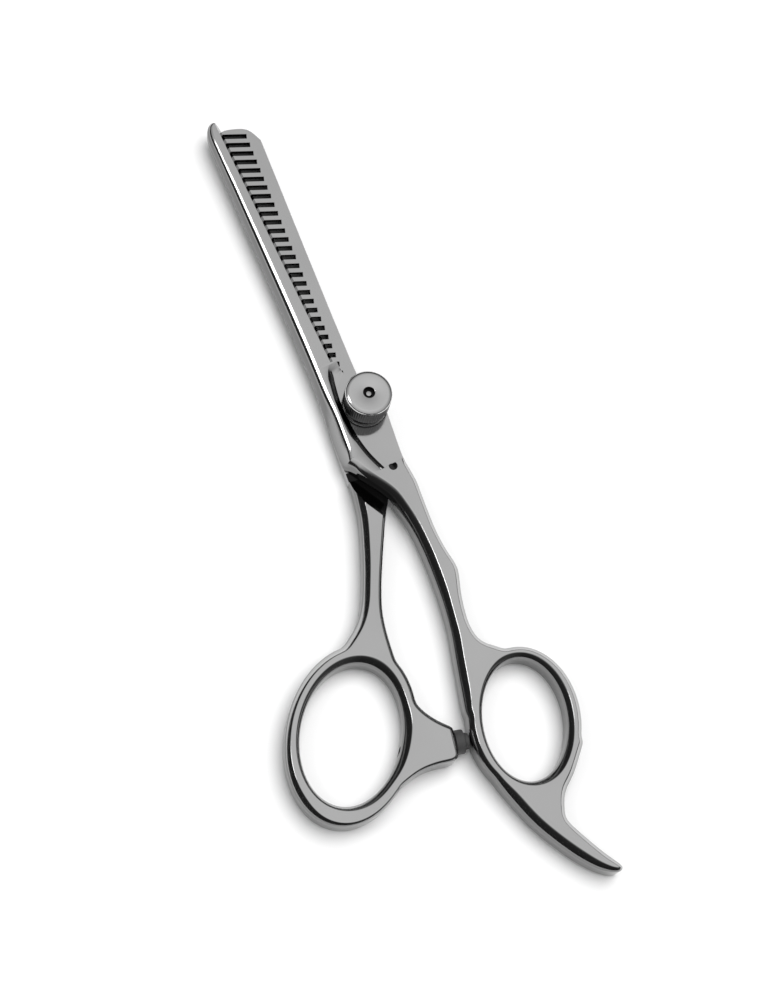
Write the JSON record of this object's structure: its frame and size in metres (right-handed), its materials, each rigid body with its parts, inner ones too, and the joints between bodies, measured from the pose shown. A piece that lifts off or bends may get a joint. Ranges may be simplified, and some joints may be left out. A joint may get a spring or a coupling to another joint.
{
  "type": "thinning shears",
  "caption": "Hairdresser's thinning shears with one plain blade, one comb blade, offset ring handles, a fixed finger rest, a round tension knob and a rubber bumper.",
  "frame": {"origin": "on the pivot axis, in the plane that the closed shears lie on", "axes": "+Y along the closed blades to their tips, +X towards the comb blade's back, +Z out of the face that carries the tension knob"},
  "size_m": [0.0588, 0.1752, 0.0112],
  "materials": {
    "polished_steel": "polished stainless steel",
    "knob_steel": "polished face with a fine knurled side",
    "screw_steel": "turned",
    "spring_steel": "blued",
    "washer_steel": "ground",
    "nylon": "natural nylon",
    "bumper_rubber": "matt"
  },
  "bodies": {
    "finger_half": {"straight_blade": "polished_steel", "finger_handle": "polished_steel", "pivot_bushing": "nylon", "flat_washer": "washer_steel", "spring_washer": "spring_steel"},
    "thumb_half": {"comb_blade": "polished_steel", "thumb_handle": "polished_steel", "pivot_screw": "screw_steel", "ride_washer": "nylon", "bumper_stud": "screw_steel", "bumper": "bumper_rubber"},
    "knob": {"tension_knob": "knob_steel"}
  },
  "joints": [
    {"name": "pivot", "type": "hinge", "parent": "finger_half", "child": "thumb_half", "pos_m": [0, 0, 0], "axis": [0, 0, -1], "range_deg": [0, 70]},
    {"name": "knob_turn", "type": "hinge", "parent": "thumb_half", "child": "knob", "pos_m": [0, 0, 0.006], "axis": [0, 0, 1], "range_deg": [-90, 90]}
  ]
}
